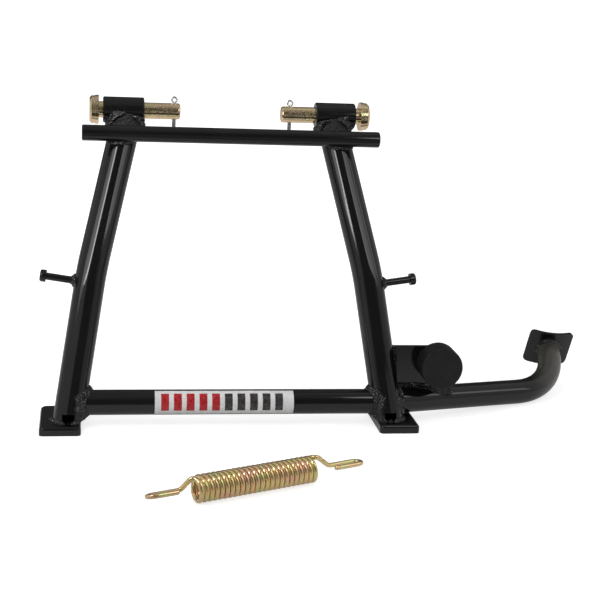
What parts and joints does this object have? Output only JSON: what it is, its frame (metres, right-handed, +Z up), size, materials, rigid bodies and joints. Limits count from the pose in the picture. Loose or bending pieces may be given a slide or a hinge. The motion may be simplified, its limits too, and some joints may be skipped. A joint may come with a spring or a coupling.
{
  "type": "motorcycle centre stand",
  "caption": "Welded tubular centre stand with flat feet, a side foot lever with pad, rubber buffer, pivot pins with split pins and an extension return spring.",
  "frame": {"origin": "floor point under the middle of the box round the whole part", "axes": "+X along the pivot axis to the foot lever's side, +Y to the rear, where the lever leads, +Z up from the floor"},
  "size_m": [0.5785, 0.3869, 0.3097],
  "materials": {
    "black_paint": "gloss",
    "yellow_zinc": "satin",
    "bright_zinc": "satin",
    "rubber": "satin",
    "label_film": "gloss"
  },
  "bodies": {
    "stand_frame": {"upper_cross_bar": "black_paint", "left_pivot_bush": "black_paint", "right_pivot_bush": "black_paint", "left_foot_plate": "black_paint", "right_foot_plate": "black_paint", "left_spring_peg": "black_paint", "right_spring_peg": "black_paint", "left_leg": "black_paint", "right_leg": "black_paint", "cross_tube": "black_paint", "foot_lever": "black_paint", "foot_pad": "black_paint", "gusset_plate": "black_paint", "left_bush_weld": "black_paint", "right_bush_weld": "black_paint", "left_bar_weld": "black_paint", "right_bar_weld": "black_paint", "left_peg_weld": "black_paint", "right_peg_weld": "black_paint", "left_foot_weld": "black_paint", "right_foot_weld": "black_paint", "left_cross_weld": "black_paint", "right_cross_weld": "black_paint", "lever_weld": "black_paint", "gusset_leg_weld": "black_paint", "gusset_lever_weld": "black_paint", "pad_weld": "black_paint", "return_spring": "yellow_zinc", "buffer_stud": "bright_zinc", "buffer_washer": "bright_zinc", "buffer_nut": "bright_zinc", "rubber_buffer": "rubber", "label": "label_film"},
    "left_pin": {"left_pivot_pin": "yellow_zinc"},
    "right_pin": {"right_pivot_pin": "yellow_zinc"},
    "left_split": {"left_split_pin": "bright_zinc"},
    "right_split": {"right_split_pin": "bright_zinc"}
  },
  "joints": [
    {"name": "left_pin_turn", "type": "hinge", "parent": "stand_frame", "child": "left_pin", "pos_m": [-0.20964, 0.12485, 0.295], "axis": [1, 0, 0], "continuous": true},
    {"name": "right_pin_turn", "type": "hinge", "parent": "stand_frame", "child": "right_pin", "pos_m": [0.00076, 0.12485, 0.295], "axis": [1, 0, 0], "continuous": true},
    {"name": "left_split_pin_pull", "type": "slide", "parent": "left_pin", "child": "left_split", "axis": [0, 0, 1], "range_m": [0, 0.04]},
    {"name": "right_split_pin_pull", "type": "slide", "parent": "right_pin", "child": "right_split", "axis": [0, 0, 1], "range_m": [0, 0.04]}
  ]
}
